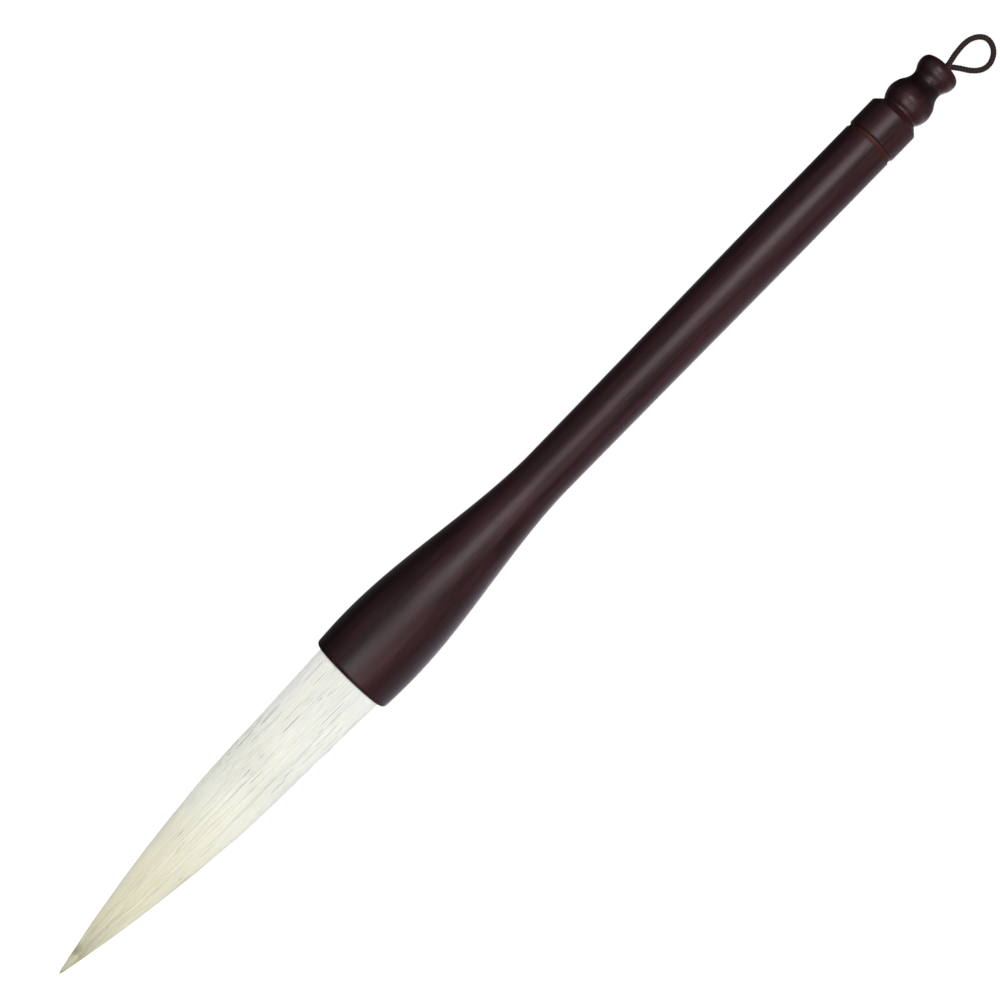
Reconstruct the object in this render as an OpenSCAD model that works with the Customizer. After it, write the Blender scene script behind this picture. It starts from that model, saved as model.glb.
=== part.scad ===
// Calligraphy brush: a turned rosewood handle with a bell that holds the hair,
// a turned finial with a hanging cord, and a pointed tuft of white hair.
// Frame: the tip of the hair is at the origin and +Z runs up the brush.
// Every length is in millimetres.

/* [Hair] */
// Length of hair that shows below the bell
hair_l = 98.6; // [96:0.1:104]
// Thickness of the layer of cover hair
cover_t = 1.2; // [0.8:0.1:1.6]
// Height of the centre that the whole tuft bends about
belly_pivot_z = 86; // [82:1:88]
// Height of the centre that the point bends about
tip_pivot_z = 46; // [42:1:50]
// Space between two stretches of hair that turn on each other
hair_gap = 0.35; // [0.3:0.05:0.5]

/* [Bell and shaft] */
// Largest radius of the bell
bell_r = 11.37; // [11.2:0.01:11.8]
// Radius of the waist, where the bell runs into the shaft
waist_r = 6.2; // [6:0.01:6.5]
// Radius of the straight part of the shaft, which is the grip of a holder
grip_r = 6.62; // [6.55:0.01:6.7]
// Height of the shaft's top end
shaft_top_z = 274; // [272:0.5:276]
// Radius of the socket that holds the bound root of the hair
socket_r = 9.5; // [9.4:0.05:9.6]
// Depth of the socket
socket_depth = 20; // [18:0.5:22]

/* [Finial] */
// Height of the finial's top, which is the length of the brush
brush_l = 300; // [298:0.5:302]
// Radius of the finial's collar
collar_r = 6.74; // [6.7:0.01:6.85]
// Radius of the tenon that goes down into the shaft
tenon_r = 3.9; // [3.7:0.05:4]
// Length of the tenon
tenon_l = 12; // [10:0.5:14]
// Radius of the hole that the cord comes out of
cord_hole_r = 1.6; // [1.55:0.05:1.8]
// Radius of the chamber that the knot sits in
knot_chamber_r = 3; // [2.9:0.05:3.1]

/* [Hanging cord] */
// Diameter of the twisted cord
cord_d = 1.45; // [1.3:0.05:1.5]
// Radius of the knot
knot_r = 2.8; // [2.6:0.1:2.8]

/* [Binding] */
// Diameter of the binding thread
thread_d = 0.6; // [0.4:0.05:0.6]
// Turns of thread round the root
thread_turns = 10; // [6:1:10]

/* [Hidden] */
$fn = 96;

wood = "#40262a";
hair_white = "#e9e8dc";
hair_cream = "#ded8bd";
cord_brown = "#3a2c29";

// Bell: the widest place, the length over which it narrows, and the rounded lip
mouth_z = hair_l;
widest_z = mouth_z + 10;
bell_fall = 58;
lip_in = 0.35;
lip_round = 1.2;
// The shaft widens slowly from the waist to the straight part that a holder grips
grip_l = 28;
straight_z = shaft_top_z - grip_l;
edge = 0.3;
// Bore for the tenon, with the film of glue between them
tenon_bore_r = tenon_r + 0.1;
tenon_bore_depth = tenon_l + 0.5;

// Stations of the turned head: height above head_z, radius
head = [[0, 4.9], [0.5, 4.95], [1.6, 5.6], [3.7, 6.05], [6, 5.55], [7.9, 4.45], [9.3, 4.09],
        [10.4, 4.24], [12, 5.03], [13.3, 5.25], [14.4, 5.05], [15.2, 4.35], [15.6, 3.1]];
head_h = head[len(head) - 1][0];
head_steps = 46;
// Finial, measured down from its top: the head, the bevel, the collar and the groove under it
head_z = brush_l - head_h;
bevel_top_r = 5.15;
bevel_h = collar_r - bevel_top_r;
collar_top_z = head_z - bevel_h;
groove_r = 6.3;
groove_h = 0.9;
// The knot pulls up against a shoulder between its chamber and the cord's hole
hole_l = 16;
shoulder_z = brush_l - hole_l;
countersink = 0.5;

// Stations of the tuft: height, radius
tuft = [[0, 0.15], [2.5, 0.74], [5, 1.26], [10, 2.22], [20, 3.92], [30, 5.38], [40, 6.6],
        [50, 7.52], [60, 8.15], [72, 8.5], [85, 8.9], [hair_l, 9.36], [hair_l + 2, 9.42]];
// The cover hair thins out over its last stretch and ends above the bare point of the core
cover_end_z = 8;
cover_end_t = 0.25;
cover_taper = 22;
layer_gap = 0.04;
// Each parting is a ball with a level cut above its centre, which leaves room to bend
rim_cut_belly = 3;
rim_cut_tip = 2.5;
// Columns of hair run past their parting by this much before they are cut
past_parting = 6;
past_ball = 14;
cutter_r = 15;

// Bound root: the waist that the thread makes, and the seal on the cut ends
waist_low_z = mouth_z + 11;
neck_h = 2;
root_waist_r = 8.6;
root_top_z = mouth_z + 18.2;
thread_pitch = thread_d + 0.02;
seal_h = 1.4;
glue_r = root_waist_r + thread_pitch;
socket_top_z = mouth_z + socket_depth;

// Cord: the way of the loop from its front foot round to the back one, measured from the finial's top
route = [[0.45, -0.72, 0.6], [0.3, -0.7, 1.7], [0.1, -0.6, 2.7], [-0.1, -0.5, 3.8],
         [-0.25, -0.4, 5.2], [-0.32, -0.3, 6.6], [-0.25, -0.2, 7.9], [0, -0.1, 9],
         [0.5, -0.1, 10.1], [1.2, 0, 11], [2.2, 0, 11.7], [3.3, 0, 11.9], [4.4, 0, 11.7],
         [5.4, 0, 11.2], [6.3, 0.1, 10.4], [6.9, 0.1, 9.4], [7.3, 0.2, 8.2],
         [7.3, 0.2, 7], [6.9, 0.3, 5.8], [6.1, 0.3, 4.7], [5.1, 0.4, 3.8],
         [4, 0.5, 3.1], [3, 0.6, 2.5], [2, 0.7, 1.8], [1.2, 0.72, 1.2], [0.55, 0.72, 0.6]];
// Two strands side by side fill the hole, and bend to the feet of the loop over the last stretch
foot_z = route[0][2];
strand_y = 0.74;
strand_end_x = 0.2;
strand_bend = 6;
foot_gap = 0.3;
tail_y = 0.8;
tail_end_z = brush_l - 28;
knot_z = shoulder_z - 3;
knot_round = 0.2;

// Radius at height z of a smooth curve through stations of height and radius
function slope(s, i) =
    let (a = max(i - 1, 0), b = min(i + 1, len(s) - 1)) (s[b][1] - s[a][1]) / (s[b][0] - s[a][0]);
function span(s, z, i = 0) = i >= len(s) - 2 || z <= s[i + 1][0] ? i : span(s, z, i + 1);
function radius_at(s, z) =
    let (i = span(s, z), h = s[i + 1][0] - s[i][0], u = (z - s[i][0]) / h)
    (2 * pow(u, 3) - 3 * pow(u, 2) + 1) * s[i][1] + (pow(u, 3) - 2 * pow(u, 2) + u) * h * slope(s, i)
    + (3 * pow(u, 2) - 2 * pow(u, 3)) * s[i + 1][1] + (pow(u, 3) - pow(u, 2)) * h * slope(s, i + 1);
function eased(u) = let (v = min(max(u, 0), 1)) v * v * (3 - 2 * v);
function arc(c, r, from, to, n) =
    [for (k = [0 : n]) let (a = from + (to - from) * k / n) [c[0] + r * cos(a), c[1] + r * sin(a)]];

// Outer radius of the bell and the shaft
function bell_at(z) = z < widest_z
    ? bell_r - lip_in * pow((widest_z - z) / (widest_z - mouth_z), 2)
    : waist_r + (bell_r - waist_r) * (1 - eased((z - widest_z) / bell_fall));
function shaft_widening(z) =
    (grip_r - waist_r) * min(max((z - widest_z - bell_fall) / (straight_z - widest_z - bell_fall), 0), 1);

module handle_blank() {
    lip_r = bell_at(mouth_z + lip_round);
    rotate_extrude() polygon(concat(
        [[0, mouth_z]],
        arc([lip_r - lip_round, mouth_z + lip_round], lip_round, -90, 0, 8),
        [for (z = [mouth_z + 3 : 3 : widest_z + bell_fall]) [bell_at(z), z]],
        [for (k = [1 : 6]) let (z = widest_z + bell_fall + (straight_z - widest_z - bell_fall) * k / 6)
            [waist_r + shaft_widening(z), z]],
        arc([grip_r - edge, shaft_top_z - edge], edge, 0, 90, 4),
        [[0, shaft_top_z]]));
}

module handle() {
    color(wood) difference() {
        handle_blank();
        translate([0, 0, mouth_z - 1]) cylinder(r = socket_r, h = socket_depth + 1);
        translate([0, 0, shaft_top_z - tenon_bore_depth]) cylinder(r = tenon_bore_r, h = tenon_bore_depth + 1);
    }
}

module finial_blank() {
    rotate_extrude() polygon(concat(
        [[0, shaft_top_z - tenon_l], [tenon_r, shaft_top_z - tenon_l], [tenon_r, shaft_top_z],
         [groove_r, shaft_top_z], [groove_r, shaft_top_z + groove_h],
         [collar_r, shaft_top_z + groove_h + collar_r - groove_r],
         [collar_r, collar_top_z], [bevel_top_r, head_z]],
        [for (k = [0 : head_steps]) let (z = head_h * k / head_steps) [radius_at(head, z), head_z + z]],
        [[0, brush_l]]));
}

module finial() {
    color(wood) difference() {
        finial_blank();
        translate([0, 0, shaft_top_z - tenon_l - 1])
            cylinder(r = knot_chamber_r, h = shoulder_z - shaft_top_z + tenon_l + 1);
        translate([0, 0, shoulder_z - 1]) cylinder(r = cord_hole_r, h = brush_l - shoulder_z + 2);
        translate([0, 0, brush_l - countersink])
            cylinder(r1 = cord_hole_r, r2 = cord_hole_r + 2 * countersink, h = 2 * countersink);
    }
}

module tenon_glue() {
    color("khaki") difference() {
        translate([0, 0, shaft_top_z - tenon_l]) cylinder(r = tenon_bore_r, h = tenon_l);
        translate([0, 0, shaft_top_z - tenon_l - 1]) cylinder(r = tenon_r, h = tenon_l + 2);
    }
}

// A column of hair from height a to height b, thinner than the tuft by t
module column(a, b, t, steps) {
    rotate_extrude() polygon(concat(
        [[0, a]],
        [for (k = [0 : steps]) let (z = a + (b - a) * k / steps) [max(radius_at(tuft, z) - t, 0.1), z]],
        [[0, b]]));
}

// The layer of cover hair tapers away over the last stretch above the bare point
function cover_at(z) = cover_end_t + (cover_t - cover_end_t) * eased((z - cover_end_z) / cover_taper);
module core_column(a, b, gap, steps) {
    rotate_extrude() polygon(concat(
        [[0, a]],
        [for (k = [0 : steps]) let (z = a + (b - a) * k / steps)
            [radius_at(tuft, z) - (z < cover_end_z ? 0 : cover_at(z)) + gap, z]],
        [[0, b]]));
}

// A ball round a parting's centre, grown by gap, and all that is lower than cut above the centre
module below(centre_z, gap, cut) {
    translate([0, 0, centre_z]) sphere(r = radius_at(tuft, centre_z) + gap);
    translate([0, 0, -cutter_r]) cylinder(r = cutter_r, h = centre_z + cut + cutter_r);
}

// The three stretches of a column of hair: tip, belly and root
module tip_stretch() {
    intersection() {
        children();
        below(tip_pivot_z, 0, 0);
    }
}
module belly_stretch() {
    difference() {
        intersection() {
            children();
            below(belly_pivot_z, 0, 0);
        }
        below(tip_pivot_z, hair_gap, rim_cut_tip);
    }
}
module root_stretch() {
    difference() {
        children();
        below(belly_pivot_z, hair_gap, rim_cut_belly);
    }
}

module cover_layer() {
    difference() {
        column(cover_end_z, mouth_z, 0, 40);
        core_column(cover_end_z - 1, mouth_z + 1, layer_gap, 44);
    }
}
module cover_hair_tip() color(hair_white) tip_stretch() cover_layer();
module cover_hair_belly() color(hair_white) belly_stretch() cover_layer();

// The root of the hair: from the upper parting, straight into the socket, and in to the bound waist
module root_column(t, extra) {
    mouth_r = radius_at(tuft, mouth_z) - t;
    low_z = belly_pivot_z - past_parting;
    root_stretch() rotate_extrude() polygon(concat(
        [[0, low_z]],
        [for (z = [low_z : 3 : mouth_z]) [radius_at(tuft, z) - t, z]],
        [[mouth_r, mouth_z], [mouth_r, waist_low_z - neck_h], [root_waist_r - t, waist_low_z],
         [root_waist_r - t, root_top_z + extra], [0, root_top_z + extra]]));
}
module cover_hair_root() {
    color(hair_white) difference() {
        root_column(0, 0);
        root_column(cover_t - layer_gap, 1);
    }
}

module core_hair_tip() color(hair_cream) tip_stretch() core_column(0, tip_pivot_z + past_ball, 0, 60);
module core_hair_belly() {
    color(hair_cream) belly_stretch() core_column(tip_pivot_z - past_parting, mouth_z, 0, 40);
}
module core_hair_root() color(hair_cream) root_column(cover_t, 0);

module binding_thread() {
    color("ivory") for (k = [0 : thread_turns - 1])
        translate([0, 0, waist_low_z + (k + 1) * thread_pitch])
            rotate_extrude() translate([root_waist_r + thread_d / 2, 0]) circle(d = thread_d, $fn = 24);
}

module root_seal() {
    color("peru") translate([0, 0, root_top_z]) cylinder(r = root_waist_r + thread_d, h = seal_h);
}

module socket_glue() {
    color("khaki") difference() {
        translate([0, 0, waist_low_z]) cylinder(r = socket_r, h = socket_top_z - waist_low_z);
        translate([0, 0, waist_low_z - 1]) cylinder(r = glue_r, h = root_top_z + seal_h - waist_low_z + 1);
    }
}

// A closed tube of diameter d along points, with rounded ends when round is 1
function unit(v) = v / norm(v);
function way(p, i) = unit(p[min(i + 1, len(p) - 1)] - p[max(i - 1, 0)]);
function ring(p, dir, r, sides) =
    let (a = unit(cross(dir, abs(dir[1]) > 0.9 ? [1, 0, 0] : [0, 1, 0])), b = cross(dir, a))
    [for (k = [0 : sides - 1]) p + r * (cos(360 * k / sides) * a + sin(360 * k / sides) * b)];
module tube(p, d, round = 0, sides = 8) {
    n = len(p);
    ends = round == 1 ? [60, 30] : [];
    rings = concat(
        [for (a = ends) ring(p[0] - way(p, 0) * d / 2 * sin(a), way(p, 0), d / 2 * cos(a), sides)],
        [for (i = [0 : n - 1]) ring(p[i], way(p, i), d / 2, sides)],
        [for (k = [len(ends) - 1 : -1 : 0])
            ring(p[n - 1] + way(p, n - 1) * d / 2 * sin(ends[k]), way(p, n - 1), d / 2 * cos(ends[k]), sides)]);
    m = len(rings);
    polyhedron(
        points = [for (one = rings) each one],
        faces = concat(
            [[for (k = [0 : sides - 1]) k]],
            [for (i = [0 : m - 2]) for (k = [0 : sides - 1]) let (j = (k + 1) % sides)
                [i * sides + k, (i + 1) * sides + k, (i + 1) * sides + j, i * sides + j]],
            [[for (k = [sides - 1 : -1 : 0]) (m - 1) * sides + k]]));
}

module hanging_loop() color(cord_brown) translate([0, 0, brush_l]) tube(route, cord_d, 1);

// Inside the finial: two strands to the knot, and the two cut ends below it
module cord_tails() {
    color(cord_brown) for (side = [-1, 1]) {
        tube([[0, side * strand_y, knot_z + knot_r], [0, side * strand_y, brush_l - strand_bend],
              [strand_end_x, side * strand_y, brush_l + foot_z - cord_d / 2 - foot_gap]], cord_d);
        tube([[0, side * tail_y, tail_end_z], [0, side * tail_y, knot_z - knot_r]], cord_d);
    }
}

module cord_knot() {
    color(cord_brown) translate([0, 0, knot_z]) rotate_extrude() intersection() {
        circle(r = knot_r + knot_round);
        translate([0, -knot_r]) square([knot_r, 2 * knot_r]);
    }
}

handle();
finial();
tenon_glue();
cover_hair_root();
cover_hair_belly();
cover_hair_tip();
core_hair_root();
core_hair_belly();
core_hair_tip();
binding_thread();
root_seal();
socket_glue();
hanging_loop();
cord_tails();
cord_knot();
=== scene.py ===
"""Calligraphy brush: rosewood handle and finial, goat-hair tuft and twisted hanging cord.

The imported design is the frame. Each piece here is in metres, in that same frame: the point of the
hair is at the origin and +Z runs up the brush."""

import math

import bpy
import numpy as np
from mathutils import Matrix, Vector
from mathutils.bvhtree import BVHTree


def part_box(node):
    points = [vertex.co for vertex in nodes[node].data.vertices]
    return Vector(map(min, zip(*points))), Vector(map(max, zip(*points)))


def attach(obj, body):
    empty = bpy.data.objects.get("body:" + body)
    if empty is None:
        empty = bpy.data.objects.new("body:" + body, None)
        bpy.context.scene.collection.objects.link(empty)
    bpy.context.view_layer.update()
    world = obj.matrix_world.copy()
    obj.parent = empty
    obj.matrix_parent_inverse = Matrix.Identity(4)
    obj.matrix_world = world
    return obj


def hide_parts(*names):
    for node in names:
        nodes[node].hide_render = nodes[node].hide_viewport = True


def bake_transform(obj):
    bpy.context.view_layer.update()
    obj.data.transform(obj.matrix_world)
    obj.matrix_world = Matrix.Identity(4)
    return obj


MM = 0.001

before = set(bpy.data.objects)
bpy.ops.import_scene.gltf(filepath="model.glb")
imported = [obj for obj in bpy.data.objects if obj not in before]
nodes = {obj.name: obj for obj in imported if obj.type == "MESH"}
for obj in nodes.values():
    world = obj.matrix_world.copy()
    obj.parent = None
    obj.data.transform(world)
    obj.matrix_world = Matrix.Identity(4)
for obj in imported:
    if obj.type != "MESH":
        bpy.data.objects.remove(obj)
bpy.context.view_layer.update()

# ---------------------------------------------------------------- places, read from the frame
FAR_OUT = 0.05
AROUND = 24


def skin(node):
    """The faces of a CAD node, for casting rays at."""
    mesh = nodes[node].data
    points = [v.co.copy() for v in mesh.vertices]
    return BVHTree.FromPolygons(points, [p.vertices[:] for p in mesh.polygons])


def outer_radius(faces, z):
    """Radius of a turned CAD node at height z, seen from outside."""
    found = []
    for k in range(AROUND):
        a = math.tau * (k + 0.5) / AROUND
        way = Vector((math.cos(a), math.sin(a), 0))
        hit = faces.ray_cast(way * FAR_OUT + Vector((0, 0, z)), -way)[0]
        if hit:
            found.append(math.hypot(hit.x, hit.y))
    return max(found)


def bore_radius(faces, z):
    """Radius of the bore at height z, seen from the axis."""
    hits = []
    for k in range(AROUND):
        a = math.tau * (k + 0.5) / AROUND
        hit = faces.ray_cast(Vector((0, 0, z)), Vector((math.cos(a), math.sin(a), 0)))[0]
        hits.append(math.hypot(hit.x, hit.y))
    return max(hits)


def end_height(faces, z, way):
    """Height at which a bore along the axis ends, going up or down from z."""
    return faces.ray_cast(Vector((0, 0, z)), Vector((0, 0, way)))[0].z


handle_skin, finial_skin = skin("handle"), skin("finial")
MOUTH_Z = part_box("handle")[0].z
SHAFT_TOP_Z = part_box("handle")[1].z
TOP_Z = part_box("finial")[1].z
TENON_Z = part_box("finial")[0].z
ROOT_TOP_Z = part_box("cover_hair_root")[1].z
KNOT_LOW_Z, KNOT_TOP_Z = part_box("cord_knot")[0].z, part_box("cord_knot")[1].z
CUT_END_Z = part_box("cord_tails")[0].z


def smooth_through(xs, ys):
    """A function for the smooth curve through points that go up in x."""
    xs, ys = np.asarray(xs, float), np.asarray(ys, float)
    slopes = np.gradient(ys, xs)

    def at(x):
        x = np.clip(x, xs[0], xs[-1])
        i = np.clip(np.searchsorted(xs, x, side="right") - 1, 0, len(xs) - 2)
        h = xs[i + 1] - xs[i]
        u = (x - xs[i]) / h
        return (
            (2 * u**3 - 3 * u**2 + 1) * ys[i]
            + (u**3 - 2 * u**2 + u) * h * slopes[i]
            + (3 * u**2 - 2 * u**3) * ys[i + 1]
            + (u**3 - u**2) * h * slopes[i + 1]
        )

    return at


# ---------------------------------------------------------------- camera, light and floor
# The camera looks level from the front at this place, rolled so that the brush leans to the right
VIEW_MIDDLE = Vector((-3.6 * MM, 0, 153.2 * MM))
CAMERA_DISTANCE = 0.601
CAMERA_LENS = 91.4
CAMERA_ROLL = math.radians(44.28)
WHITE = (1, 1, 1, 1)


def camera():
    data = bpy.data.cameras.new("camera")
    data.lens, data.sensor_width = CAMERA_LENS, 36
    data.clip_start, data.clip_end = 0.01, 20
    seen = bpy.data.objects.new("camera", data)
    bpy.context.scene.collection.objects.link(seen)
    right = Vector((math.cos(CAMERA_ROLL), 0, math.sin(CAMERA_ROLL)))
    up = Vector((-math.sin(CAMERA_ROLL), 0, math.cos(CAMERA_ROLL)))
    back = Vector((0, -1, 0))
    seen.matrix_world = Matrix.Translation(VIEW_MIDDLE + back * CAMERA_DISTANCE) @ Matrix(
        (right, up, back)
    ).transposed().to_4x4()
    bpy.context.scene.camera = seen


def panel(name, place, aim, size, radiance, tint=(1, 1, 1), in_gloss=True, on_matt=True):
    """A soft box: a rectangle of light that the camera doesn't see."""
    data = bpy.data.lights.new(name, "AREA")
    data.shape = "RECTANGLE"
    data.size, data.size_y = size
    data.energy, data.color = radiance * math.pi * size[0] * size[1], tint
    light = bpy.data.objects.new(name, data)
    light.location = place
    light.rotation_mode = "QUATERNION"
    light.rotation_quaternion = (Vector(aim) - Vector(place)).to_track_quat("-Z", "Y")
    light.visible_camera, light.visible_glossy, light.visible_diffuse = False, in_gloss, on_matt
    bpy.context.scene.collection.objects.link(light)
    return light


# The room's light as the gloss of the wood shows it: degrees round from the camera's side, right being
# positive, and strength. It is dark on the left and bright at the back right, near eye level.
SEEN_ROUND = ((-180, 0.9), (-160, 0.3), (-115, 0.02), (-85, 0.08), (-55, 0.32), (0, 0.3), (60, 0.2),
              (85, 0.3), (110, 0.85), (150, 1.3), (180, 1.1))
# How that changes with height, given as the sine of the elevation
SEEN_UP = ((-1, 0.1), (-0.3, 0.25), (-0.05, 0.8), (0.05, 1.0), (0.14, 0.75), (0.22, 0.25), (1, 0.15))
# Strength of the room's light on matt surfaces, and of the white that the camera and the table show
SHED_ON_MATT = 0.06
PLAIN_WHITE = 1.02


def room():
    """Even white to the camera. Everything else is lit by a room that is brighter on one side."""
    world = bpy.data.worlds.new("room")
    bpy.context.scene.world = world
    world.use_nodes = True
    tree = world.node_tree
    link = tree.links.new

    def add(kind, how=None):
        made = tree.nodes.new("ShaderNode" + kind)
        if how:
            made.operation = how
        return made

    def ramp(value, low, high, steps):
        spread, colours = add("MapRange"), add("ValToRGB")
        spread.inputs["From Min"].default_value, spread.inputs["From Max"].default_value = low, high
        link(value, spread.inputs["Value"])
        link(spread.outputs["Result"], colours.inputs["Fac"])
        stops = colours.color_ramp.elements
        for k, (at, grey) in enumerate(steps):
            stop = stops[k] if k < 2 else stops.new(1)
            stop.position = (at - low) / (high - low)
            stop.color = (grey, grey * 0.98, grey * 1.04, 1)
        return colours.outputs["Color"]

    split, flip, angle = add("SeparateXYZ"), add("Math", "MULTIPLY"), add("Math", "ARCTAN2")
    degrees, gloss_colour = add("Math", "DEGREES"), add("VectorMath", "MULTIPLY")
    link(add("TexCoord").outputs["Generated"], split.inputs[0])
    link(split.outputs["Y"], flip.inputs[0])
    flip.inputs[1].default_value = -1
    link(split.outputs["X"], angle.inputs[0])
    link(flip.outputs[0], angle.inputs[1])
    link(angle.outputs[0], degrees.inputs[0])
    link(ramp(degrees.outputs[0], -180, 180, SEEN_ROUND), gloss_colour.inputs[0])
    link(ramp(split.outputs["Z"], -1, 1, SEEN_UP), gloss_colour.inputs[1])

    gloss = next(n for n in tree.nodes if n.type == "BACKGROUND")
    matt, seen = add("Background"), add("Background")
    link(gloss_colour.outputs[0], gloss.inputs["Color"])
    matt.inputs["Color"].default_value = seen.inputs["Color"].default_value = WHITE
    matt.inputs["Strength"].default_value = SHED_ON_MATT
    seen.inputs["Strength"].default_value = PLAIN_WHITE
    path, shed, shown = add("LightPath"), add("MixShader"), add("MixShader")
    link(path.outputs["Is Diffuse Ray"], shed.inputs[0])
    link(gloss.outputs[0], shed.inputs[1])
    link(matt.outputs[0], shed.inputs[2])
    link(path.outputs["Is Camera Ray"], shown.inputs[0])
    link(shed.outputs[0], shown.inputs[1])
    link(seen.outputs[0], shown.inputs[2])
    out = next(n for n in tree.nodes if n.type == "OUTPUT_WORLD")
    link(shown.outputs[0], out.inputs["Surface"])


def floor():
    """A round white table that gives a little light of its own, so that it stays plain."""
    sides, radius, low = 96, 0.3, -0.4 * MM
    points = [(radius * math.cos(math.tau * k / sides), radius * math.sin(math.tau * k / sides), low)
              for k in range(sides)]
    mesh = bpy.data.meshes.new("floor")
    mesh.from_pydata(points, [], [list(range(sides))])
    made = bpy.data.objects.new("floor", mesh)
    bpy.context.scene.collection.objects.link(made)
    paint = bpy.data.materials.new("floor_white")
    paint.use_nodes = True
    skin_node = paint.node_tree.nodes["Principled BSDF"]
    skin_node.inputs["Base Color"].default_value = (0.8, 0.8, 0.8, 1)
    skin_node.inputs["Roughness"].default_value = 0.9
    skin_node.inputs["Emission Color"].default_value = WHITE
    skin_node.inputs["Emission Strength"].default_value = PLAIN_WHITE
    mesh.materials.append(paint)
    made.visible_diffuse = made.visible_glossy = False


# Soft boxes that only the gloss shows: middle, size across and up, radiance. Behind the camera, three
# stand above each other on the left and a wide one lies low on the right. The last is on the far side.
SOFT_BOXES = (((-0.22, -1.05, -0.1), (0.54, 0.14), 6.8), ((-0.12, -1.05, 0.42), (0.58, 0.14), 7.2),
              ((-0.12, -1.05, 0.55), (0.5, 0.12), 1.8),
              ((0.3, -1.05, -0.36), (1.3, 0.4), 2.0), ((0.22, 1.05, 0.2), (0.36, 0.9), 1.4))
GLOSS_TINT = (1, 0.92, 0.95)
# Panels that light matt surfaces, in front and on the far side: place and radiance
KEYS = (((0.5, -1.22, 0.25), 5.5), ((0.1, 1.3, 0.4), 6.0))
KEY_SIZE = (0.9, 0.9)
# Pale hair takes in light that the dark wood doesn't, so it has panels of its own: place and radiance
HAIR_FILLS = (((-1.25, -0.35, 0.1), 2.8), ((1.2, 0.0, 0.1), 1.9), ((-0.5, -1.2, 0.0), 1.3),
              ((0.0, 1.3, 0.1), 1.6))
HAIR_FILL_SIZE = (1.2, 1.2)


def studio():
    for number, ((x, y, z), size, radiance) in enumerate(SOFT_BOXES):
        panel(f"soft_box_{number}", (x, y, z), (x, 0, z), size, radiance, GLOSS_TINT, on_matt=False)
    for number, (place, radiance) in enumerate(KEYS):
        panel(f"key_{number}", place, (0, 0, 0.15), KEY_SIZE, radiance, in_gloss=False)
    scene = bpy.context.scene
    scene.view_settings.view_transform = "Standard"
    scene.view_settings.look = "None"
    scene.cycles.use_denoising = True


def light_hair(pieces):
    """Panels that light the hair alone."""
    lit = bpy.data.collections.new("lit_hair")
    for piece in pieces:
        lit.objects.link(piece)
    for number, (place, radiance) in enumerate(HAIR_FILLS):
        light = panel(f"hair_fill_{number}", place, (0, 0, 0.06), HAIR_FILL_SIZE, radiance, in_gloss=False)
        light.light_linking.receiver_collection = lit


# ---------------------------------------------------------------- material building
class Paint:
    """A Principled material and the few node calls that every finish here is made of."""

    def __init__(self, name, **plain):
        self.material = bpy.data.materials.new(name)
        self.material.use_nodes = True
        self.tree = self.material.node_tree
        self.skin = self.tree.nodes["Principled BSDF"]
        for socket, value in plain.items():
            self.skin.inputs[socket.replace("_", " ")].default_value = value

    def node(self, kind, **inputs):
        made = self.tree.nodes.new("ShaderNode" + kind)
        for name, value in inputs.items():
            self.put(value, made.inputs[name.replace("_", " ")])
        return made

    def put(self, value, socket):
        if isinstance(value, bpy.types.NodeSocket):
            self.tree.links.new(value, socket)
        else:
            socket.default_value = value

    def place(self, stretch, kind="Object"):
        """The piece's own coordinates, in metres, times stretch."""
        coordinates = self.node("TexCoord").outputs[kind]
        return self.node("Mapping", Vector=coordinates, Scale=stretch).outputs[0]

    def attribute(self, name, output="Fac"):
        made = self.node("Attribute")
        made.attribute_name = name
        return made.outputs[output]

    def noise(self, where, scale=1.0, detail=3.0, rough=0.55):
        made = self.node("TexNoise", Vector=where, Scale=scale, Detail=detail, Roughness=rough)
        return made.outputs["Fac"]

    def ramp(self, value, low, high, to_low=0.0, to_high=1.0):
        made = self.node(
            "MapRange", Value=value, From_Min=low, From_Max=high, To_Min=to_low, To_Max=to_high
        )
        made.clamp = True
        return made.outputs["Result"]

    def mix(self, share, a, b, mode="MIX"):
        made = self.node("Mix")
        made.data_type, made.blend_type = "RGBA", mode
        for value, socket in ((share, 0), (a, 6), (b, 7)):
            self.put(value, made.inputs[socket])
        return made.outputs[2]

    def maths(self, how, a, b):
        made = self.node("Math")
        made.operation = how
        self.put(a, made.inputs[0])
        self.put(b, made.inputs[1])
        return made.outputs[0]

    def bump(self, height, depth, strength=1.0):
        """Relief of the given depth in metres."""
        made = self.node("Bump", Height=height, Distance=depth, Strength=strength)
        self.put(made.outputs["Normal"], self.skin.inputs["Normal"])

    def set(self, **linked):
        for name, value in linked.items():
            self.put(value, self.skin.inputs[name.replace("_", " ")])
        return self.material


def rgb(text):
    """Linear colour of an sRGB hex code."""
    parts = [int(text[k : k + 2], 16) / 255 for k in (1, 3, 5)]
    return (*[c / 12.92 if c <= 0.04045 else ((c + 0.055) / 1.055) ** 2.4 for c in parts], 1)


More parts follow.
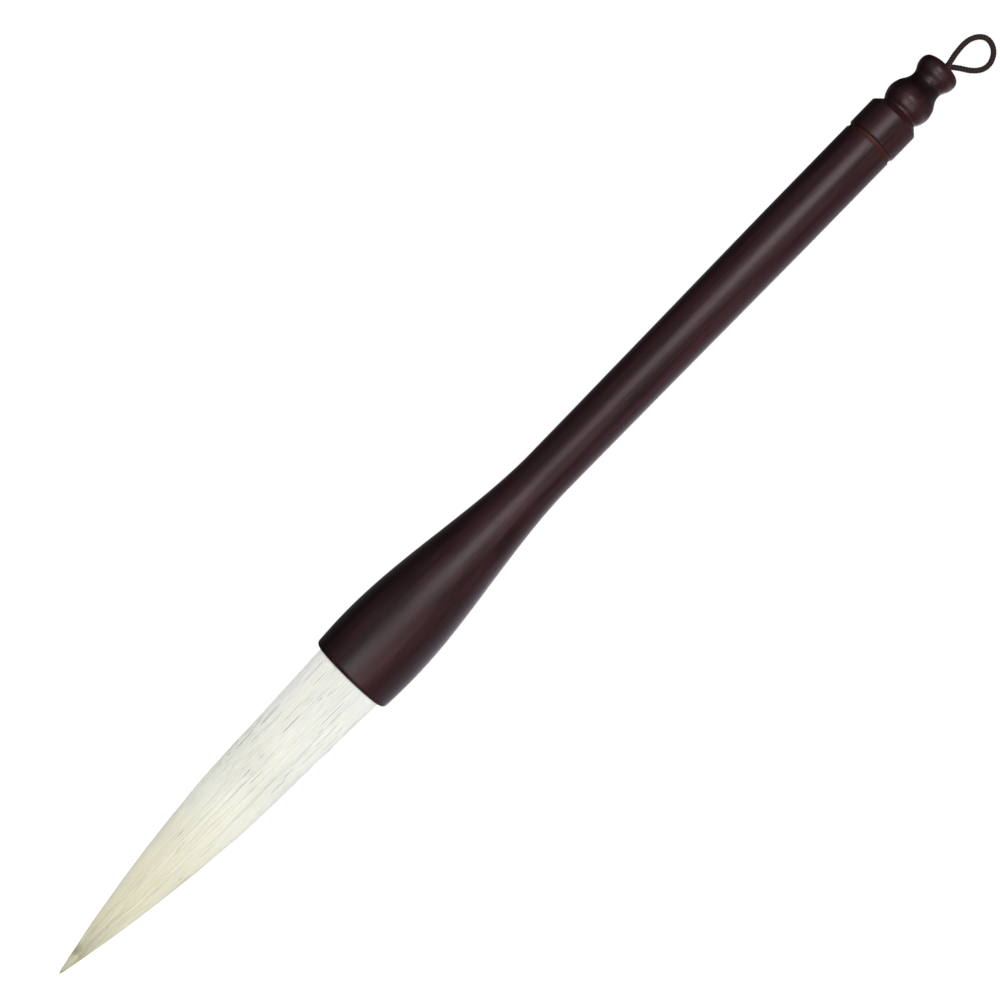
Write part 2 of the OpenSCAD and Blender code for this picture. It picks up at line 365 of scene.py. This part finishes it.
def rosewood():
    """Dark oiled rosewood, with its grain along the brush, fine pores and browner fresh cuts. It is darker
    towards the mouth of the bell."""
    p = Paint("rosewood", IOR=1.5)
    grain = p.noise(p.place((520, 520, 22)), 1.0, 5.0, 0.62)
    broad = p.noise(p.place((110, 110, 10)), 1.0, 3.0, 0.55)
    fine = p.noise(p.place((1600, 1600, 150)), 1.0, 3.0, 0.6)
    colour = p.mix(p.ramp(grain, 0.34, 0.66), rgb("#291517"), rgb("#44272a"))
    colour = p.mix(p.ramp(broad, 0.5, 0.7, 0.0, 0.5), colour, rgb("#552a29"))
    pores = p.ramp(fine, 0.58, 0.70)
    colour = p.mix(p.maths("MULTIPLY", pores, 0.55), colour, rgb("#140909"))
    height = p.node("SeparateXYZ", Vector=p.node("TexCoord").outputs["Object"]).outputs["Z"]
    # Darker towards the mouth of the bell.
    colour = p.mix(p.ramp(height, MOUTH_Z, MOUTH_Z + 55 * MM, 0.35, 0.0), colour, rgb("#180d0f"))
    colour = p.mix(p.attribute("fresh_cut"), colour, rgb("#4a180c"))
    # Painted shade: the wood is darkened in the neck under the knob.
    colour = p.mix(p.attribute("painted_neck_shade"), colour, rgb("#140a0a"))
    rough = p.ramp(grain, 0.25, 0.75, 0.29, 0.39)
    rough = p.maths("ADD", rough, p.maths("MULTIPLY", p.attribute("fresh_cut"), 0.3))
    rough = p.maths("ADD", rough, p.ramp(height, MOUTH_Z, MOUTH_Z + 60 * MM, 0.08, 0.0))
    p.bump(p.maths("SUBTRACT", p.maths("MULTIPLY", fine, 0.5), pores), 0.018 * MM, 0.6)
    return p.set(Base_Color=colour, Roughness=rough)


def hair_finish(name, shine):
    """Bleached goat hair. Each hair's own colour is held on its points."""
    p = Paint(name, Roughness=0.55, IOR=1.5, Sheen_Weight=0.1, Sheen_Roughness=0.5)
    p.skin.inputs["Specular IOR Level"].default_value = shine
    streak = p.noise(p.place((4500, 220, 1), "UV"), 1.0, 4.0, 0.65)
    patch = p.noise(p.place((110, 110, 34)), 1.0, 3.0, 0.55)
    colour = p.mix(p.ramp(patch, 0.42, 0.62, 0.0, 0.8), (1, 1, 1, 1), (0.945, 0.965, 1.0, 1))
    colour = p.mix(1.0, p.attribute("tint", "Color"), colour, "MULTIPLY")
    colour = p.mix(1.0, colour, p.ramp(streak, 0.35, 0.6, 0.9, 1.0), "MULTIPLY")
    p.bump(streak, 0.01 * MM, 0.5)
    return p.set(Base_Color=colour)


def cord_finish():
    """Dark brown twisted cotton, with fibres along each ply, lighter worn crowns and painted shade in the
    valleys between plies.
    """
    p = Paint("cord_cotton", Roughness=0.8, Sheen_Weight=0.35, Sheen_Roughness=0.4)
    fibre = p.noise(p.place((40, 9000, 1), "UV"), 1.0, 3.0, 0.7)
    patch = p.noise(p.place((3, 900, 1), "UV"), 1.0, 2.0, 0.5)
    crown = p.attribute("crown")
    # Near black in the valleys between plies: painted shade.
    colour = p.mix(crown, rgb("#0d0807"), rgb("#4c3933"))
    colour = p.mix(p.ramp(fibre, 0.35, 0.7, 0.0, 0.4), colour, rgb("#5a443c"))
    colour = p.mix(p.ramp(patch, 0.5, 0.75, 0.0, 0.3), colour, rgb("#2a1b18"))
    p.bump(fibre, 0.05 * MM, 0.7)
    return p.set(Base_Color=colour)


def thread_finish():
    p = Paint("binding_silk", Roughness=0.55, Sheen_Weight=0.3)
    fibre = p.noise(p.place((20, 6000, 1), "UV"), 1.0, 3.0, 0.6)
    p.bump(fibre, 0.03 * MM, 0.6)
    return p.set(Base_Color=p.mix(fibre, rgb("#c9bfa2"), rgb("#efe8d2")))


def resin_finish(name, light, dark, rough):
    """Rosin or hide glue: amber, with flow marks and small pits."""
    p = Paint(name, IOR=1.54, Coat_Weight=0.2)
    flow = p.noise(p.place((400, 400, 700)), 1.0, 4.0, 0.6)
    pits = p.noise(p.place((2500, 2500, 2500)), 1.0, 2.0, 0.5)
    p.bump(p.maths("ADD", flow, pits), 0.06 * MM, 0.7)
    colour = p.mix(p.ramp(flow, 0.3, 0.7), rgb(dark), rgb(light))
    return p.set(Base_Color=colour, Roughness=p.ramp(pits, 0.3, 0.7, rough, rough + 0.2))


# ---------------------------------------------------------------- mesh building
def add_piece(name, points, faces, material, uv=None, values=None, tint=None):
    """One smooth-shaded mesh. values holds a number for each point under each name, and tint a colour."""
    mesh = bpy.data.meshes.new(name)
    mesh.from_pydata(np.asarray(points).reshape(-1, 3).tolist(), [], faces)
    mesh.polygons.foreach_set("use_smooth", [True] * len(mesh.polygons))
    corners = np.empty(len(mesh.loops), np.int32)
    mesh.loops.foreach_get("vertex_index", corners)
    if uv is not None:
        layer = mesh.uv_layers.new(name="along")
        layer.data.foreach_set("uv", np.asarray(uv, np.float32).reshape(-1, 2)[corners].ravel())
    for key, numbers in (values or {}).items():
        held = mesh.attributes.new(key, "FLOAT", "POINT")
        held.data.foreach_set("value", np.asarray(numbers, np.float32).ravel())
    if tint is not None:
        held = mesh.attributes.new("tint", "FLOAT_COLOR", "POINT")
        held.data.foreach_set("color", np.asarray(tint, np.float32).ravel())
    mesh.materials.append(material)
    made = bpy.data.objects.new(name, mesh)
    bpy.context.scene.collection.objects.link(made)
    return made


def quad_rows(rings, sides, closed=False):
    """Faces between rings of points, each ring closed round the piece."""
    i = np.arange(rings if closed else rings - 1)[:, None]
    k = np.arange(sides)[None, :]
    low, high = i * sides, ((i + 1) % rings) * sides
    nxt = (k + 1) % sides
    return np.stack([low + k, low + nxt, high + nxt, high + k], -1).reshape(-1, 4)


# ---------------------------------------------------------------- turned wood
TURNED_SIDES = 144
HEAD_HEIGHT = 15.6 * MM
# Painted shade in the neck under the knob: lowest and highest height, and how softly it ends
NECK_SHADE_SPAN = (TOP_Z - 8.5 * MM, TOP_Z - 6.3 * MM, 2.5 * MM)


def rounded(corners, radius):
    """A line of (radius, height) corners with each inner corner eased, and held by a point either side."""
    made = [corners[0]]
    for before, here, after in zip(corners, corners[1:], corners[2:]):
        p, a, b = (np.array(c, float) for c in (here, before, after))
        la, lb = np.linalg.norm(a - p), np.linalg.norm(b - p)
        d = min(radius, la / 3, lb / 3)
        a, b = p + (a - p) / la * d, p + (b - p) / lb * d
        made.append(tuple(a + (a - p) * 0.5))
        for t in (0, 0.25, 0.5, 0.75, 1):
            made.append(tuple((1 - t) ** 2 * a + 2 * t * (1 - t) * p + t**2 * b))
        made.append(tuple(b + (b - p) * 0.5))
    return made + [corners[-1]]


def turned(name, outline, material, cut, ring=False):
    """A lathe-turned piece from an outline of (radius, height). cut gives how freshly cut each point is.
    The outline starts and ends on the axis, or with ring it closes on itself."""
    outline = np.array(outline, float)
    body = outline if ring else outline[1:-1]
    turn = np.arange(TURNED_SIDES) * math.tau / TURNED_SIDES
    r, z = body[:, 0][:, None], body[:, 1][:, None] + 0 * turn
    # Hand sanding leaves a turned piece very slightly out of round.
    r = r * (1 + 0.0006 * np.sin(2 * turn + 25 * z) + 0.0004 * np.sin(3 * turn - 60 * z))
    points = np.stack([r * np.cos(turn), r * np.sin(turn), z], -1).reshape(-1, 3)
    faces = quad_rows(len(body), TURNED_SIDES, ring).tolist()
    marks = np.repeat(cut(body[:, 0], body[:, 1]), TURNED_SIDES)
    if not ring:
        first, last = len(points), len(points) + 1
        points = np.vstack([points, [0, 0, outline[0, 1]], [0, 0, outline[-1, 1]]])
        top = (len(body) - 1) * TURNED_SIDES
        for k in range(TURNED_SIDES):
            after = (k + 1) % TURNED_SIDES
            faces += [[first, after, k], [last, top + k, top + after]]
        marks = np.append(marks, [0, 0])
    # Painted shade in the neck under the knob, held on the points.
    neck_shade_share = 0.8 * band(points[:, 2], *NECK_SHADE_SPAN)
    return add_piece(name, points, faces, material, values={"fresh_cut": marks, "painted_neck_shade": neck_shade_share})


def band(z, low, high, soft):
    """1 between two heights, falling to 0 over soft on either side."""
    return np.clip((z - low) / soft + 1, 0, 1) * np.clip((high - z) / soft + 1, 0, 1)


def make_handle(material):
    step, lip = 3 * MM, 1.2 * MM
    socket_r = bore_radius(handle_skin, MOUTH_Z + 5 * MM)
    socket_top = end_height(handle_skin, MOUTH_Z + 5 * MM, 1)
    bore_r = bore_radius(handle_skin, SHAFT_TOP_Z - 5 * MM)
    bore_low = end_height(handle_skin, SHAFT_TOP_Z - 5 * MM, -1)
    heights = np.append(np.arange(MOUTH_Z + step, SHAFT_TOP_Z - step, step), SHAFT_TOP_Z - 0.4 * MM)
    lip_heights = MOUTH_Z + lip * (1 - np.cos(np.radians([12, 24, 36, 48, 60, 72, 84])))
    side_heights = np.concatenate([[MOUTH_Z + lip], heights])
    side = smooth_through(side_heights, [outer_radius(handle_skin, z) for z in side_heights])
    fine = np.arange(MOUTH_Z + lip, SHAFT_TOP_Z - 0.4 * MM, 1 * MM)
    top_r = side(SHAFT_TOP_Z - 0.4 * MM)
    lip_low_r = outer_radius(handle_skin, MOUTH_Z + 0.005 * MM) - 0.1 * MM
    inside = rounded([(0, socket_top), (socket_r, socket_top), (socket_r, MOUTH_Z), (lip_low_r, MOUTH_Z)],
                     0.15 * MM)
    lip_line = [(outer_radius(handle_skin, z), z) for z in lip_heights]
    side_line = [(side(z), z) for z in fine]
    top = rounded([(top_r, SHAFT_TOP_Z - 0.5 * MM), (top_r, SHAFT_TOP_Z), (bore_r, SHAFT_TOP_Z),
                   (bore_r, bore_low), (0, bore_low)], 0.3 * MM)
    made = turned("handle_turned", inside + lip_line + side_line + top, material,
                  lambda r, z: 0.7 * band(z, SHAFT_TOP_Z - 0.15 * MM, SHAFT_TOP_Z, 0.2 * MM) * (r > bore_r))
    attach(made, "handle")
    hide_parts("handle")


def make_finial(material):
    low, fine = SHAFT_TOP_Z + 0.02 * MM, 0.1 * MM
    heights = np.arange(low, TOP_Z - 0.02 * MM, fine)
    radii = np.array([outer_radius(finial_skin, z) for z in heights])
    for _ in range(2):
        radii[1:-1] = radii[:-2] / 4 + radii[1:-1] / 2 + radii[2:] / 4
    tenon_r = outer_radius(finial_skin, SHAFT_TOP_Z - 5 * MM)
    chamber_r = bore_radius(finial_skin, SHAFT_TOP_Z)
    hole_r = bore_radius(finial_skin, TOP_Z - 4 * MM)
    shoulder = KNOT_TOP_Z + 0.2 * MM
    sink = 0.5 * MM
    outside = rounded([(radii[-1], heights[-1]), (radii[-1] - 0.2 * MM, TOP_Z), (hole_r + sink, TOP_Z),
                       (hole_r, TOP_Z - sink), (hole_r, shoulder), (chamber_r, shoulder),
                       (chamber_r, TENON_Z), (tenon_r, TENON_Z), (tenon_r, SHAFT_TOP_Z),
                       (radii[0], SHAFT_TOP_Z)], 0.1 * MM)
    head_z = TOP_Z - HEAD_HEIGHT

    def cut(r, z):
        outer = r > tenon_r + 0.4 * MM
        groove = band(z, SHAFT_TOP_Z, SHAFT_TOP_Z + 0.7 * MM, 0.2 * MM) * 0.75
        neck = band(z, head_z - 0.9 * MM, head_z + 0.1 * MM, 0.4 * MM) * 0.25
        return outer * np.maximum(groove, neck) + 0.5 * (r < hole_r + sink)

    made = turned("finial_turned", [*zip(radii, heights), *outside[1:-1]], material, cut, ring=True)
    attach(made, "handle")
    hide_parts("finial")


# ---------------------------------------------------------------- hair
# Where the skin of each stretch of the CAD tuft is whole, in millimetres
SKIN_HEIGHTS = {
    "core_hair_tip": (0.5, 2.5, 5, 7.5),
    "cover_hair_tip": (10, 20, 30, 40, 45),
    "cover_hair_belly": (50, 60, 72, 84),
    "cover_hair_root": (92, 98, 105, 109.8, 116.6),
}
tuft_points = [
    (z * MM, outer_radius(skin(node), z * MM)) for node, heights in SKIN_HEIGHTS.items() for z in heights
]
tuft_radius = smooth_through([0, *[z for z, _ in tuft_points]], [0.02 * MM, *[r for _, r in tuft_points]])

# The stretch on the belly where upper and lower hair meet
WINDOW_LOW, WINDOW_HIGH = 60.5 * MM, 74.5 * MM
HAIR_COUNT = 4800
# The longest cover hairs end here, and the core makes the point below them. The others end within
# END_SPREAD above it.
COVER_END, END_SPREAD = 2.5 * MM, 44 * MM
HAIR_HALF_WIDTH = 0.046 * MM
# Depth over which the cover hairs lie on each other
HAIR_LAYERS = 0.11 * MM
# Dark strands that paint shade into gaps between clumps of hair: how many, and the lowest height they reach
GAP_SHADE_STRANDS = 70
LOWEST_GAP_SHADE = 26 * MM
# Radius that the figures for the hair's fineness are given at, and how deep the core lies there
FULL_RADIUS = 9 * MM
CORE_INSET = 0.13 * MM
RIDGE_RELIEF = 0.008 * MM
# Height over which the core comes out to the surface, and length over which a hair thins to its end
BARE_POINT = 9 * MM
THINNING = 14 * MM
# Colour of the hair by height in millimetres
HAIR_COLOURS = ((0, "#bdba9b"), (3, "#d8d3b6"), (9, "#ebe7ce"), (20, "#ebe8d0"), (35, "#efecd6"),
                (55, "#f3f2e4"), (80, "#f5f5ec"), (117, "#f2f2ea"))


def hair_colour(z):
    """Linear colours at heights z, one row each."""
    at = [height * MM for height, _ in HAIR_COLOURS]
    rows = np.array([rgb(code)[:3] for _, code in HAIR_COLOURS])
    return np.stack([np.interp(z, at, rows[:, k]) for k in range(3)], -1)


class Hairs:
    """Every cover hair as numbers: its place round the tuft, how deep it lies, where it ends, its tone."""

    def __init__(self, count, random):
        self.turn = random.uniform(0, math.tau, count)
        self.depth = random.uniform(0, 1, count) ** 1.4
        self.meet = random.uniform(WINDOW_LOW, WINDOW_HIGH, count)
        self.end = COVER_END + END_SPREAD * random.uniform(0, 1, count) ** 1.1
        self.wave = random.uniform(0.0, 0.035, count) * MM
        self.wave_length = random.uniform(30, 90, count) * MM
        self.wave_start = random.uniform(0, math.tau, count)
        self.width = HAIR_HALF_WIDTH * random.uniform(0.75, 1.25, count)
        self.tone = random.normal(1.0, 0.012, count)
        lock = np.sin(9 * self.turn + 1.3) + np.sin(23 * self.turn + 4) + 0.7 * np.sin(41 * self.turn)
        self.warm = 0.35 * lock + random.normal(0, 0.6, count)

    def some(self, which):
        made = object.__new__(Hairs)
        for name, numbers in vars(self).items():
            setattr(made, name, numbers[which])
        return made

    def mesh_rows(self, heights, taper):
        """Points, colours and UVs of one stretch. heights and taper have a row for each hair."""
        n, rings = heights.shape
        radius = tuft_radius(heights)
        sway = self.wave[:, None] * np.sin(math.tau * heights / self.wave_length[:, None]
                                           + self.wave_start[:, None])
        share = np.sqrt(np.clip(radius / FULL_RADIUS, 0.02, 1))
        turn = self.turn[:, None] + sway * share / np.maximum(radius, 0.4 * MM)
        width = self.width[:, None] * taper
        # A thin end lies nearer to the surface, or the gaps between thin hairs would be deep and dark.
        below = self.depth[:, None] * HAIR_LAYERS * share * np.clip(taper, 0, 1) ** 1.5
        r = np.maximum(radius - below - width * 0.6, 0.01 * MM)
        sides = []
        for k in range(3):
            a = math.tau * k / 3
            out, across = width * math.cos(a), width * math.sin(a)
            x = (r + out) * np.cos(turn) - across * np.sin(turn)
            y = (r + out) * np.sin(turn) + across * np.cos(turn)
            sides.append(np.stack([x, y, heights], -1))
        points = np.stack(sides, 2)
        # Painted light: the colour is made lighter where the tuft is thin, since crowded thin hairs shade
        # each other there.
        tint = hair_colour(heights) * self.tone[:, None, None] * (1 + 0.3 * (1 - share))[..., None]
        warmth = (0.02 + 0.05 * np.clip(1 - heights / (60 * MM), 0, 1)) * self.warm[:, None]
        tint = tint * (1 + warmth[..., None] * np.array([0.1, -0.15, -0.9]))
        tint = np.concatenate([np.clip(tint, 0, 0.93), np.ones((n, rings, 1))], -1)
        tint = np.repeat(tint[:, :, None, :], 3, 2)
        uv = np.stack([np.repeat((self.turn[:, None] * FULL_RADIUS + 0 * heights)[:, :, None], 3, 2),
                       np.repeat(heights[:, :, None], 3, 2)], -1)
        return points, tint, uv


def hair_faces(count, rings):
    """Faces of count three-sided hairs, both ends closed."""
    one = quad_rows(rings, 3)
    starts = np.arange(count)[:, None, None] * rings * 3
    sides = (one[None] + starts).reshape(-1, 4)
    caps = np.array([[2, 1, 0], [(rings - 1) * 3, (rings - 1) * 3 + 1, (rings - 1) * 3 + 2]])
    ends = (caps[None] + starts).reshape(-1, 3)
    return sides.tolist() + ends.tolist()


def hair_piece(name, hairs, heights, taper, material):
    points, tint, uv = hairs.mesh_rows(heights, taper)
    return add_piece(name, points, hair_faces(*heights.shape), material, uv=uv, tint=tint)


def upper_heights(hairs):
    inside = np.linspace(ROOT_TOP_Z - 0.1 * MM, MOUTH_Z, 4)[:-1]
    count = len(hairs.turn)
    below = MOUTH_Z + (hairs.meet[:, None] - MOUTH_Z) * np.linspace(0, 1, 11)[None]
    return np.concatenate([np.repeat(inside[None], count, 0), below], 1)


def lower_heights(hairs):
    share = np.linspace(0, 1, 16)[None] ** 0.85
    return hairs.meet[:, None] + (hairs.end[:, None] - hairs.meet[:, None]) * share


def end_taper(hairs, heights):
    """Each hair thins over its last stretch to a fine end."""
    left = (heights - hairs.end[:, None]) / THINNING
    crowd = np.interp(heights, [0, 6 * MM, 30 * MM, 60 * MM], [0.45, 0.6, 0.85, 1])
    return crowd * np.clip(np.sqrt(np.clip(left, 0, 1)), 0.2, 1)


def core_piece(name, low, high, rings, random, material):
    """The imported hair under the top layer: a closed column with a fine ridge for each hair."""
    sides = 300
    heights = low + (high - low) * np.linspace(0, 1, rings)
    turn = np.arange(sides) * math.tau / sides
    ridge = np.zeros((rings, sides))
    for waves in (61, 83, 97, 118, 139):
        drift, start = random.uniform(-30, 30), random.uniform(0, math.tau)
        ridge += np.sin(waves * turn[None] + drift * heights[:, None] * 4 + start)
    radius = tuft_radius(heights)[:, None]
    inset = CORE_INSET * np.sqrt(radius / FULL_RADIUS) * np.clip(heights / BARE_POINT, 0, 1)[:, None]
    relief = RIDGE_RELIEF * np.minimum(radius / (5 * MM), 1) * ridge
    r = np.maximum(radius - inset - relief, 0.015 * MM)
    z = np.repeat(heights[:, None], sides, 1)
    points = np.stack([r * np.cos(turn), r * np.sin(turn), z], -1)
    tint = hair_colour(z) * (0.95 + 0.01 * ridge[..., None])
    tint = np.concatenate([np.clip(tint, 0, 0.93), np.ones((rings, sides, 1))], -1)
    uv = np.stack([np.repeat((turn * FULL_RADIUS)[None], rings, 0), z], -1)
    faces = quad_rows(rings, sides).tolist()
    faces += [list(range(sides))[::-1], list(range((rings - 1) * sides, rings * sides))]
    return add_piece(name, points, faces, material, uv=uv, tint=tint)


def gap_shade_strands(random, low, high, count):
    """Short dark strands at the surface that paint the shade of gaps between clumps of hair, as heights and
    tapers of one stretch.
    """
    hairs = Hairs(count, random)
    hairs.depth[:] = -0.3
    hairs.wave[:] *= 0.3
    hairs.width[:] = random.uniform(0.026, 0.042, count) * MM
    length = random.uniform(1.0, 2.1, count) ** 3 * MM
    middle = random.uniform(low + 4 * MM, high - 4 * MM, count)
    share = np.linspace(0.5, -0.5, 7)[None]
    heights = middle[:, None] + length[:, None] * share
    taper = np.repeat(np.clip(1 - (2 * share) ** 6, 0.12, 1), count, 0)
    # Their near-black tone is painted shade.
    hairs.tone[:] = random.uniform(0.02, 0.12, count)
    return hairs, heights, taper


def make_hair():
    random = np.random.default_rng(7)
    surface, under = hair_finish("goat_hair", 0.25), hair_finish("goat_hair_core", 0.15)
    hairs = Hairs(HAIR_COUNT, random)
    middle = (WINDOW_LOW + WINDOW_HIGH) / 2
    upper_core = core_piece("core_hair_upper", middle, ROOT_TOP_Z - 0.2 * MM, 90, random, under)
    lower_core = core_piece("core_hair_lower", 0.0, middle, 160, random, under)
    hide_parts("core_hair_root", "core_hair_belly")
    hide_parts("core_hair_tip")
    uppers, lowers = [upper_core], [lower_core]
    parts = 3
    for part in range(parts):
        some = hairs.some(slice(part, None, parts))
        high, low = upper_heights(some), lower_heights(some)
        uppers.append(hair_piece(f"cover_hair_upper_{part + 1}", some, high, end_taper(some, high), surface))
        lowers.append(hair_piece(f"cover_hair_lower_{part + 1}", some, low, end_taper(some, low), surface))
    # Strands of painted gap shade, above and below the belly.
    gap_shade_upper = gap_shade_strands(random, WINDOW_LOW, MOUTH_Z, GAP_SHADE_STRANDS)
    gap_shade_lower = gap_shade_strands(random, LOWEST_GAP_SHADE, WINDOW_LOW, GAP_SHADE_STRANDS // 4)
    uppers.append(hair_piece("painted_gap_shade_upper", *gap_shade_upper, surface))
    lowers.append(hair_piece("painted_gap_shade_lower", *gap_shade_lower, surface))
    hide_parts("cover_hair_root", "cover_hair_belly")
    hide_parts("cover_hair_tip")
    for piece in uppers:
        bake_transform(piece)
    for piece in lowers:
        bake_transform(piece)
    light_hair(uppers + lowers)


# ---------------------------------------------------------------- cord
CORD_D = 1.45 * MM
PLIES, LAY = 3, 2.1 * MM
# Radius that the valleys between plies come down to, as a share of the cord's radius
VALLEY = 0.92
STRAND_Y, STRAND_END_X, TAIL_Y = 0.74, 0.2, 0.8
# The loop from its front foot round to the back one, in millimetres from the top of the finial
ROUTE = ((0.45, -0.72, 0.6), (0.3, -0.7, 1.7), (0.1, -0.6, 2.7), (-0.1, -0.5, 3.8),
         (-0.25, -0.4, 5.2), (-0.32, -0.3, 6.6), (-0.25, -0.2, 7.9), (0, -0.1, 9),
         (0.5, -0.1, 10.1), (1.2, 0, 11), (2.2, 0, 11.7), (3.3, 0, 11.9), (4.4, 0, 11.7),
         (5.4, 0, 11.2), (6.3, 0.1, 10.4), (6.9, 0.1, 9.4), (7.3, 0.2, 8.2),
         (7.3, 0.2, 7), (6.9, 0.3, 5.8), (6.1, 0.3, 4.7), (5.1, 0.4, 3.8),
         (4, 0.5, 3.1), (3, 0.6, 2.5), (2, 0.7, 1.8), (1.2, 0.72, 1.2), (0.55, 0.72, 0.6))


def smooth_line(points, step, closed=False):
    """Points a step apart on the smooth curve through a list of points."""
    points = np.array(points, float)
    if closed:
        points = np.vstack([points, points[:1]])
    along = np.concatenate([[0], np.cumsum(np.linalg.norm(np.diff(points, axis=0), axis=1))])
    curve = [smooth_through(along, points[:, k]) for k in range(3)]
    dense = np.stack([c(np.linspace(0, along[-1], 4000)) for c in curve], -1)
    real = np.concatenate([[0], np.cumsum(np.linalg.norm(np.diff(dense, axis=0), axis=1))])
    at = np.linspace(0, real[-1], max(4, round(real[-1] / step) + 1))
    return np.stack([np.interp(at, real, dense[:, k]) for k in range(3)], -1)


def ply_outline(turn, plies, size):
    """Radius of a bundle of touching round plies in each direction, and 0 to 1 from valley to crown."""
    ply = size / (1 + 1 / math.sin(math.pi / plies))
    middle = size - ply
    from_ply = (turn + math.pi / plies) % (math.tau / plies) - math.pi / plies
    inside = np.maximum(ply**2 - (middle * np.sin(from_ply)) ** 2, 0)
    r = np.maximum(middle * np.cos(from_ply) + np.sqrt(inside), VALLEY * size)
    return r, (r / size - VALLEY) / (1 - VALLEY)


def twisted(name, line, size, material, lay=LAY, plies=PLIES, sides=30, ends=0.5):
    """A twisted cord of radius size along a line, closed at both ends."""
    way = np.gradient(line, axis=0)
    way /= np.linalg.norm(way, axis=1, keepdims=True)
    side = np.cross(way[0], (0, 1, 0) if abs(way[0][1]) < 0.9 else (1, 0, 0))
    frames = []
    for forward in way:
        side = side - forward * (side @ forward)
        side = side / np.linalg.norm(side)
        frames.append((side, np.cross(forward, side)))
    along = np.concatenate([[0], np.cumsum(np.linalg.norm(np.diff(line, axis=0), axis=1))])
    turn = np.arange(sides) * math.tau / sides
    left = np.minimum(along, along[-1] - along) / (ends * size)
    close = np.sqrt(np.clip(1 - (1 - np.clip(left, 0, 1)) ** 2, 0.02, 1))
    r, crown = ply_outline(turn[None] - math.tau * along[:, None] / lay, plies, size)
    r = r * close[:, None]
    a, b = np.array([f[0] for f in frames])[:, None], np.array([f[1] for f in frames])[:, None]
    outward = np.cos(turn)[None, :, None] * a + np.sin(turn)[None, :, None] * b
    points = line[:, None] + r[..., None] * outward
    rings = len(line)
    faces = quad_rows(rings, sides)[:, ::-1].tolist()
    faces += [list(range(sides)), list(range((rings - 1) * sides, rings * sides))[::-1]]
    # The fibres run along the plies, so the first coordinate turns with them.
    across = turn[None] / math.tau - along[:, None] / lay
    uv = np.stack([np.repeat(along[:, None], sides, 1), across * 3 * MM], -1)
    return add_piece(name, points, faces, material, uv=uv, values={"crown": crown})


def make_cord():
    cotton = cord_finish()
    top = np.array([0, 0, TOP_Z])
    loop = [top + np.array(p) * MM for p in ROUTE]
    strand = [(0, STRAND_Y * MM, KNOT_TOP_Z - 0.2 * MM), (0, STRAND_Y * MM, KNOT_TOP_Z + 5 * MM),
              (0, STRAND_Y * MM, TOP_Z - 6 * MM), (STRAND_END_X * MM, STRAND_Y * MM, TOP_Z - 0.9 * MM)]
    front = [np.array([x, -y, z]) for x, y, z in strand]
    back = [np.array(p) for p in reversed(strand)]
    line = smooth_line([*front, *loop, *back], 0.14 * MM)
    made = twisted("hanging_cord", line, CORD_D / 2, cotton)
    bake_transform(made)
    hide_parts("hanging_loop", "cord_tails")
    extra = [make_knot(cotton), *make_cut_ends(cotton)]
    tuple(loop[0])


def make_knot(cotton):
    """The two strands tied together in one tight overhand knot."""
    middle, size = (KNOT_LOW_Z + KNOT_TOP_Z) / 2, 0.66 * MM
    turns = np.linspace(0, math.tau, 49)[:-1]
    line = np.stack([size * (np.sin(turns) + 2 * np.sin(2 * turns)),
                     size * (np.cos(turns) - 2 * np.cos(2 * turns)),
                     middle - 1.2 * size * np.sin(3 * turns)], -1)
    made = twisted("cord_knot_tied", smooth_line(line, 0.16 * MM, closed=True), CORD_D / 2, cotton)
    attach(made, "handle")
    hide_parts("cord_knot")
    return made


def make_cut_ends(cotton):
    """The two cut ends below the knot, each a little unravelled."""
    for number, side in enumerate((-1, 1)):
        line = smooth_line([(0, side * TAIL_Y * MM, KNOT_LOW_Z + 0.3 * MM),
                            (0.1 * side * MM, side * (TAIL_Y + 0.1) * MM, (KNOT_LOW_Z + CUT_END_Z) / 2),
                            (0.2 * side * MM, side * (TAIL_Y + 0.3) * MM, CUT_END_Z)], 0.14 * MM)
        made = twisted(f"cord_cut_end_{number + 1}", line, CORD_D / 2, cotton, ends=0.3)
        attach(made, "handle")
        yield made


# ---------------------------------------------------------------- inside the bell
def make_binding():
    """One thread wound round the root, its turns side by side."""
    low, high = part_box("binding_thread")
    size, turns = 0.3 * MM, 10
    r = high.x - size
    angle = np.linspace(0, math.tau * turns, 72 * turns)
    z = low.z + size + (high.z - low.z - 2 * size) * angle / angle[-1]
    line = np.stack([r * np.cos(angle), r * np.sin(angle), z], -1)
    made = twisted("binding_winding", line, size, thread_finish(), lay=1.6 * MM, sides=10, ends=1.0)
    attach(made, "handle")
    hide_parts("binding_thread")


def finish_glues():
    rosin = resin_finish("rosin", "#a8702c", "#6e4418", 0.2)
    glue = resin_finish("hide_glue", "#c9a257", "#9a7433", 0.3)
    for node, paint in (("root_seal", rosin), ("socket_glue", glue), ("tenon_glue", glue)):
        mesh = nodes[node].data
        mesh.materials.clear()
        mesh.materials.append(paint)


camera()
room()
studio()
floor()
wood = rosewood()
make_handle(wood)
make_finial(wood)
make_hair()
make_cord()
make_binding()
finish_glues()
